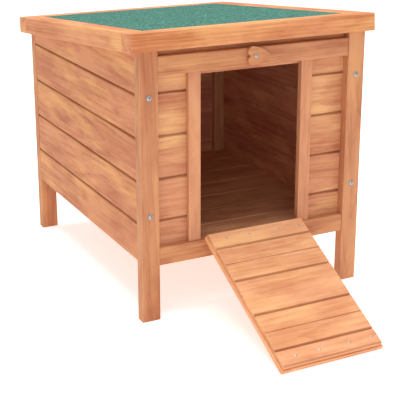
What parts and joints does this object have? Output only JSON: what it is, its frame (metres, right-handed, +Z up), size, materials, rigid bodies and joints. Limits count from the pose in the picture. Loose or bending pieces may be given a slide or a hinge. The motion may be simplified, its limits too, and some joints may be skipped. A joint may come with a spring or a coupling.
{
  "type": "rabbit hutch",
  "caption": "Pent-roofed pine hutch for a small rabbit on four legs, with a felted hinged lid, a slotted plank floor and a drop-down ramp door held by a heart button.",
  "frame": {"origin": "on the ground, at the middle of the front left leg's foot", "axes": "+X to the right as seen from the doorway's side, +Y from the doorway to the back, +Z up"},
  "size_m": [0.42, 0.7446, 0.45],
  "materials": {
    "frame_pine": "satin orange-brown stain",
    "cladding": "satin orange-brown stain",
    "jamb_pine": "satin light stain",
    "ramp_pine": "satin light stain",
    "inner_pine": "satin brown stain",
    "deck_board": "plain plywood",
    "felt": "mineral-surfaced green roofing felt",
    "zinc": "zinc plated",
    "steel": "bright zinc plated"
  },
  "bodies": {
    "hutch": {"post_front_left": "frame_pine", "post_front_right": "frame_pine", "post_rear_left": "frame_pine", "post_rear_right": "frame_pine", "header_rail": "frame_pine", "bottom_rail": "frame_pine", "back_top_rail": "frame_pine", "back_bottom_rail": "frame_pine", "lintel_board": "inner_pine", "door_jamb_left": "jamb_pine", "door_jamb_right": "jamb_pine", "left_plank_1": "cladding", "left_plank_2": "cladding", "left_plank_3": "cladding", "left_plank_4": "cladding", "left_plank_5": "cladding", "right_plank_1": "cladding", "right_plank_2": "cladding", "right_plank_3": "cladding", "right_plank_4": "cladding", "right_plank_5": "cladding", "back_plank_1": "inner_pine", "back_plank_2": "inner_pine", "back_plank_3": "inner_pine", "back_plank_4": "inner_pine", "back_plank_5": "inner_pine", "front_planks_left": "cladding", "front_planks_right": "cladding", "wall_battens": "inner_pine", "floor_bearers": "inner_pine", "floor_planks": "inner_pine", "post_screws": "steel", "heart_screw": "steel", "ramp_hinge_plates": "zinc", "ramp_hinge_pins": "zinc", "roof_hinge_plates": "zinc", "roof_hinge_pins": "zinc", "hinge_plate_screws": "steel"},
    "ramp": {"ramp_plank_1": "ramp_pine", "ramp_plank_2": "ramp_pine", "ramp_plank_3": "ramp_pine", "ramp_plank_4": "ramp_pine", "ramp_plank_5": "ramp_pine", "ramp_stile_left": "ramp_pine", "ramp_stile_right": "ramp_pine", "ramp_rail_hinge": "ramp_pine", "ramp_rail_foot": "ramp_pine", "ramp_nails": "steel", "ramp_hinge_straps": "zinc", "ramp_hinge_screws": "steel"},
    "lid": {"roof_board_front": "frame_pine", "roof_board_rear": "frame_pine", "roof_board_left": "frame_pine", "roof_board_right": "frame_pine", "roof_deck": "deck_board", "roof_battens": "inner_pine", "roof_felt": "felt", "roof_hinge_straps": "zinc", "roof_hinge_screws": "steel"},
    "heart": {"heart_button": "frame_pine"}
  },
  "joints": [
    {"name": "ramp_hinge", "type": "hinge", "parent": "hutch", "child": "ramp", "pos_m": [0.175, -0.0104, 0.119], "axis": [-1, 0, 0], "range_deg": [0, 117.4]},
    {"name": "lid_hinge", "type": "hinge", "parent": "hutch", "child": "lid", "pos_m": [0.181, 0.4764, 0.37147], "axis": [-1, 0, 0], "range_deg": [0, 86]},
    {"name": "heart_turn", "type": "hinge", "parent": "hutch", "child": "heart", "pos_m": [0.175, -0.0115, 0.40088], "axis": [0, 1, 0], "range_deg": [0, 180]}
  ]
}
